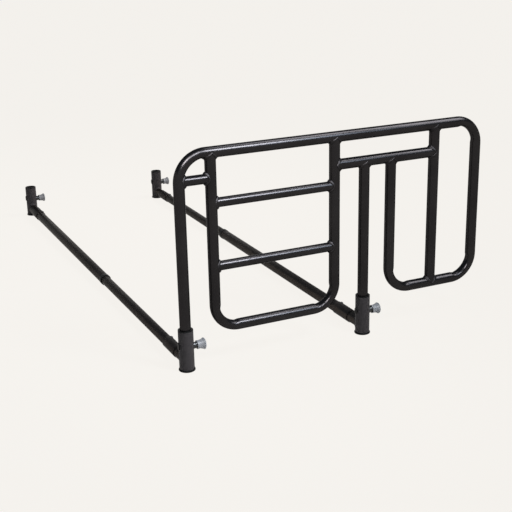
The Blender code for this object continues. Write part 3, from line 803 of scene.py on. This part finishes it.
lip_middle = KNOB_WAIST + KNOB_FLARE - LIP_RADIUS
lip = np.column_stack([lip_middle + LIP_RADIUS * np.cos(lip_turn), LIP_AT + LIP_RADIUS * np.sin(lip_turn)])
inwards = np.linspace(1, 0, 8)
dish = np.column_stack([DISH_RADIUS * inwards, KNOB_END - DISH_DEPTH * (1 - inwards ** 2)])
knob_outline = np.concatenate([skirt[:-1], bell, lip, dish])


def steel_effect():
    """Turned and plated steel: fine lines across the length of a piece, under a faint bloom of zinc."""
    group, given, put = effect("plated_steel", ["Line Pitch", "Bloom Size"], ["Height", "Patch", "Grain"])
    place = group.nodes.new("ShaderNodeTexCoord").outputs["Object"]
    squeeze = group.nodes.new("ShaderNodeVectorMath")
    squeeze.operation = "MULTIPLY"
    squeeze.inputs[1].default_value = (1.0, 0.06, 0.06)
    group.links.new(place, squeeze.inputs[0])
    lines = noise(group, squeeze.outputs["Vector"], given.outputs["Line Pitch"], detail=2.0)
    bloom = noise(group, place, given.outputs["Bloom Size"], detail=3.0)
    group.links.new(lines, put.inputs["Height"])
    group.links.new(spread(group, bloom, low=0.3, high=0.7), put.inputs["Patch"])
    group.links.new(spread(group, lines, low=0.3, high=0.7), put.inputs["Grain"])
    return group


PLATED = steel_effect()
PIN_STEEL = finish(
    "plated_pin_steel",
    PLATED,
    {"Line Pitch": 0.0004, "Bloom Size": 0.003},
    [(0.50, 0.50, 0.51), (0.62, 0.62, 0.63)],
    roughness=(0.22, 0.38),
    bump=0.00001,
    Metallic=1.0,
)
for corner, (x, y, _, _, body) in CORNERS.items():
    barrel = piece(
        f"{corner}_plunger_housing",
        [turned(barrel_outline, (x, y, PIN_HIGH), ALONG, sides=48)],
        BARREL_PLASTIC,
        body,
        [f"{corner}_plunger_barrel"],
    )
    knob = piece(
        f"{corner}_pull_knob",
        [turned(knob_outline, (x, y, PIN_HIGH), ALONG)],
        KNOB_PLASTIC,
        f"{corner}_plunger",
        [f"{corner}_plunger_knob"],
        wrap=False,
    )
    for hidden in ("plunger_pin", "plunger_spring"):
        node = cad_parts[f"{corner}_{hidden}"]
        node.data.materials.clear()
        node.data.materials.append(PIN_STEEL)


# Crossbar ends: a stub of tube welded to the socket, a coupling sleeve over it with its mouth opened
# out, and the telescoping tube pushed into the sleeve's other end until its button snaps out.
BAR_HIGH = 0.024
BAR_WALL = 0.0012
SLEEVE_START = 0.050
SLEEVE_END = 0.120
SLEEVE_STEP = 0.0016
SLEEVE_GAP = 0.0004
MOUTH_WALL = 0.0003
MOUTH_DEEP = SLEEVE_START + 0.0080
MOUTH_SLOPE = SLEEVE_START + 0.0072
STUB_END = 0.084
TUBE_START = STUB_END + 0.0003
TUBE_REACH = 0.840
BUTTON_AT = 0.114
BUTTON_LEAN = np.radians(35)
BUTTON_OUT = np.array([np.sin(BUTTON_LEAN), 0.0, np.cos(BUTTON_LEAN)])
BUTTON_RADIUS = 0.0033
BUTTON_HOLE = 0.0037
BUTTON_DRILL = 0.03
BUTTON_PROUD = 0.0021
BUTTON_DOME = 0.0015
BUTTON_SUNK = 0.0010
BUTTON_EDGE = 0.0003
BAR_COAT = finish(
    "crossbar_coat",
    POWDER,
    {"Peel Size": 0.004, "Grain Size": 0.0012, "Grain Share": 0.5},
    [(0.0362, 0.0300, 0.0266), (0.0484, 0.0408, 0.0365)],
    roughness=(0.31, 0.38),
    bump=0.000008,
    Metallic=0.7,
    Specular_IOR_Level=0.25,
    Specular_Tint=(0.3, 0.3, 0.3, 1.0),
)
BUTTON_STEEL = finish(
    "blackened_button_steel",
    PLATED,
    {"Line Pitch": 0.0004, "Bloom Size": 0.002},
    [(0.012, 0.012, 0.013), (0.030, 0.030, 0.031)],
    roughness=(0.25, 0.40),
    bump=0.00001,
)
TUBE_NAMES = {
    "near_left": "left_inner_tube",
    "near_right": "right_outer_tube",
    "far_left": "left_outer_tube",
    "far_right": "right_inner_tube",
}
dome_turn = np.linspace(0, np.pi / 2, 12)
for corner, (x, y, heading, bar_radius, body) in CORNERS.items():
    origin = np.array([x, y, BAR_HIGH])
    outwards = heading * ACROSS
    stub = piece(
        f"{corner}_stub_tube",
        [
            bent_tube(
                straight(origin, origin + STUB_END * outwards),
                ALONG,
                bar_radius,
                bar_radius - BAR_WALL,
                start=SOCKET_RADIUS,
            )
        ],
        BAR_COAT,
        body,
        [f"{corner}_stub"],
    )
    stub_bead = weld_bead(
        origin,
        outwards,
        ALONG,
        bar_radius,
        SOCKET_RADIUS,
        leg=0.0050,
        fill=0.6,
        ridge=0.0024,
        ripple=0.0034,
    )
    bead = piece(
        f"{corner}_stub_weld",
        [stub_bead],
        SOCKET_COAT,
        body,
        crease=WELD_CREASE,
    )
    sleeve_radius = bar_radius + SLEEVE_STEP
    sleeve_outline = eased(
        [
            (bar_radius + SLEEVE_GAP, MOUTH_DEEP, 0.0004),
            (sleeve_radius - MOUTH_WALL, MOUTH_SLOPE, 0.0004),
            (sleeve_radius - MOUTH_WALL, SLEEVE_START, 0.0001),
            (sleeve_radius, SLEEVE_START, 0.0001),
            (sleeve_radius, SLEEVE_END, 0.0004),
            (bar_radius + SLEEVE_GAP, SLEEVE_END, 0.0004),
        ],
        steps=4,
    )
    sleeve = piece(
        f"{corner}_coupling",
        [turned(sleeve_outline, origin, outwards)],
        BAR_COAT,
        body,
        [f"{corner}_sleeve"],
    )
    bar_outline = ring_profile(bar_radius - BAR_WALL, bar_radius, TUBE_START, TUBE_REACH)
    bar = piece(
        f"{corner}_crossbar_tube",
        [turned(bar_outline, origin, outwards)],
        BAR_COAT,
        body,
        [TUBE_NAMES[corner]],
    )
    button_root = origin + BUTTON_AT * outwards
    for holed in (sleeve, bar):
        drilled(holed, button_root, BUTTON_OUT, BUTTON_HOLE, BUTTON_DRILL)
    top = sleeve_radius + BUTTON_PROUD
    foot = bar_radius - BAR_WALL - BUTTON_SUNK
    stem = [(0, foot), (BUTTON_RADIUS - BUTTON_EDGE, foot), (BUTTON_RADIUS, foot + BUTTON_EDGE)]
    dome = np.column_stack([BUTTON_RADIUS * np.cos(dome_turn), top - BUTTON_DOME * (1 - np.sin(dome_turn))])
    button = piece(
        f"{corner}_lock_button",
        [turned(np.concatenate([stem, dome]), button_root, BUTTON_OUT, sides=40)],
        BUTTON_STEEL,
        f"{corner}_button",
        [f"{corner}_snap_button"],
        wrap=False,
    )
    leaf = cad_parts[f"{corner}_button_spring"]
    leaf.data.materials.clear()
    leaf.data.materials.append(PIN_STEEL)


# Mouth rings: thin black rings pressed over the open ends of the two outer tubes, where the inner
# tubes slide in.
RING_GAP = 0.0003
RING_RADIUS = OUTER_BAR + 0.0008
RING_BORE = INNER_BAR + RING_GAP
RING_BACK = TUBE_REACH - 0.012
RING_FRONT = TUBE_REACH + 0.0023
ring_outline = eased(
    [
        (OUTER_BAR + RING_GAP, RING_BACK, 0.0002),
        (RING_RADIUS, RING_BACK, 0.0005),
        (RING_RADIUS, RING_FRONT, 0.0010),
        (RING_BORE, RING_FRONT, 0.0004),
        (RING_BORE, TUBE_REACH + RING_GAP, 0.0002),
        (OUTER_BAR + RING_GAP, TUBE_REACH + RING_GAP, 0.0002),
    ],
    steps=5,
)
for corner, ring_node in (("near_right", "right_mouth_ring"), ("far_left", "left_mouth_ring")):
    x, y, heading, _, body = CORNERS[corner]
    mouth = piece(
        f"{corner}_mouth_guide",
        [turned(ring_outline, (x, y, BAR_HIGH), heading * ACROSS)],
        CAP_PLASTIC,
        body,
        [ring_node],
    )


# Studio: a wide pale floor with low pale walls far off, and a dim bluish surround. Nine soft lamps hang
# behind grids, and six of them show in gloss alone, as the long highlights on the tubes. The camera
# stands where the photograph was taken from.
PALE = (0.926, 0.900, 0.860, 1.0)
FLOOR_REACH = 20.0
FLOOR_HIGH = -0.0004
WALL_HIGH = 6.5
FLOOR_GLOW = 0.97


def seen_directly(tree):
    """1 for rays that show a thing to the camera, straight or in a reflection, and 0 for its light."""
    path = tree.nodes.new("ShaderNodeLightPath")
    either = tree.nodes.new("ShaderNodeMath")
    either.operation = "MAXIMUM"
    tree.links.new(path.outputs["Is Camera Ray"], either.inputs[0])
    tree.links.new(path.outputs["Is Glossy Ray"], either.inputs[1])
    all_three = tree.nodes.new("ShaderNodeMath")
    all_three.operation = "MAXIMUM"
    tree.links.new(either.outputs[0], all_three.inputs[0])
    tree.links.new(path.outputs["Is Transmission Ray"], all_three.inputs[1])
    return all_three.outputs[0]


plan = FLOOR_REACH * np.array([(-1, -1), (1, -1), (1, 1), (-1, 1)])
low_edge = np.column_stack([plan, np.full(4, FLOOR_HIGH)])
high_edge = np.column_stack([plan, np.full(4, WALL_HIGH)])
walls = [(side, (side + 1) % 4, (side + 1) % 4 + 4, side + 4) for side in range(4)]
floor_mesh = bpy.data.meshes.new("studio_floor")
floor_mesh.from_pydata(np.concatenate([low_edge, high_edge]).tolist(), [], [(0, 1, 2, 3), *walls])
floor = bpy.data.objects.new("studio_floor", floor_mesh)
bpy.context.scene.collection.objects.link(floor)
floor_paint = bpy.data.materials.new("studio_floor_paint")
floor_paint.use_nodes = True
floor_paint.cycles.emission_sampling = "NONE"
tree = floor_paint.node_tree
paint = tree.nodes["Principled BSDF"]
paint.inputs["Base Color"].default_value = PALE
paint.inputs["Roughness"].default_value = 0.9
paint.inputs["Specular IOR Level"].default_value = 0.0
glow = tree.nodes.new("ShaderNodeEmission")
glow.inputs["Color"].default_value = PALE
glow_share = tree.nodes.new("ShaderNodeMath")
glow_share.operation = "MULTIPLY"
glow_share.inputs[1].default_value = FLOOR_GLOW
tree.links.new(seen_directly(tree), glow_share.inputs[0])
both = tree.nodes.new("ShaderNodeMixShader")
tree.links.new(glow_share.outputs[0], both.inputs[0])
tree.links.new(paint.outputs[0], both.inputs[1])
tree.links.new(glow.outputs[0], both.inputs[2])
tree.links.new(both.outputs[0], tree.nodes["Material Output"].inputs["Surface"])
floor_mesh.materials.append(floor_paint)

world = bpy.data.worlds.new("studio_surround")
bpy.context.scene.world = world
world.use_nodes = True
surround = world.node_tree.nodes["Background"]
surround.inputs["Color"].default_value = (0.62, 0.80, 1.0, 1.0)
surround.inputs["Strength"].default_value = 0.2


def lamp(name, place, aim, size, watts, colour, grid, sheen=False):
    """A rectangular soft lamp behind a grid, turned towards a point with its width along the rail.

    The grid keeps its light inside a cone of so many degrees. A sheen lamp shows in gloss alone.
    """
    light = bpy.data.lights.new(name, "AREA")
    light.shape = "RECTANGLE"
    light.size, light.size_y = size
    light.energy = watts
    light.color = colour
    light.spread = np.radians(grid)
    behind = (Vector(place) - Vector(aim)).normalized()
    beside = (Vector(ALONG) - behind.x * behind).normalized()
    made = bpy.data.objects.new(name, light)
    turn = Matrix((beside, behind.cross(beside), behind)).transposed().to_4x4()
    made.matrix_world = Matrix.Translation(place) @ turn
    made.visible_diffuse = not sheen
    bpy.context.scene.collection.objects.link(made)


COOL = (0.66, 0.83, 1.0)
BLUISH = (0.88, 0.94, 1.0)
CLEAR = (0.93, 0.96, 1.0)
WHITE = (0.98, 0.98, 1.0)
WARM = (1.0, 0.97, 0.94)
WARMER = (1.0, 0.97, 0.93)
lamp("key_softbox", (0.41, -1.85, 1.70), (-0.36, -0.72, 0.34), (0.44, 0.62), 6.0, BLUISH, 60)
lamp("fill_softbox", (0.86, -2.10, 1.70), (0.00, -0.72, 0.45), (0.44, 0.80), 1.9, COOL, 60, sheen=True)
lamp("left_softbox", (-1.10, -1.67, 1.68), (-0.36, -0.72, 0.66), (0.80, 0.80), 5.6, WHITE, 40, sheen=True)
lamp("bend_softbox", (-0.38, -1.76, 1.70), (-0.36, -0.72, 0.50), (0.74, 0.62), 2.3, BLUISH, 30, sheen=True)
lamp("guard_softbox", (1.40, -1.45, 1.70), (0.26, -0.72, 0.12), (0.60, 0.90), 1.2, CLEAR, 40, sheen=True)
lamp("overhead_softbox", (1.48, -0.88, 2.40), (0.28, -0.72, 0.30), (1.28, 0.90), 6.4, CLEAR, 60, sheen=True)
lamp("overhead_card", (0.68, -0.45, 2.40), (-0.15, -0.72, 0.20), (0.45, 0.95), 1.2, CLEAR, 60, sheen=True)
lamp("far_softbox", (1.30, 0.05, 2.20), (-0.15, 0.72, 0.06), (1.00, 1.00), 7.0, WARM, 60)
lamp("back_softbox", (0.8, 3.5, 1.4), (0.0, 0.2, 0.2), (2.4, 1.2), 1.2, WARMER, 60)

camera = bpy.data.objects.new("camera", bpy.data.cameras.new("camera"))
camera.data.sensor_width = 36.0
camera.data.lens = 71.761
right = Vector((0.9029269, -0.4292856, -0.0209013))
up = Vector((0.1542630, 0.2783072, 0.9480232))
back = Vector((-0.4011558, -0.8592200, 0.3175140))
turn = Matrix((right, up, back)).transposed().to_4x4()
camera.matrix_world = Matrix.Translation((RAIL_X - 0.7456, RAIL_Y - 1.9777, 0.97302)) @ turn
bpy.context.scene.collection.objects.link(camera)
bpy.context.scene.camera = camera
bpy.context.scene.view_settings.view_transform = "Standard"

bpy.context.view_layer.update()
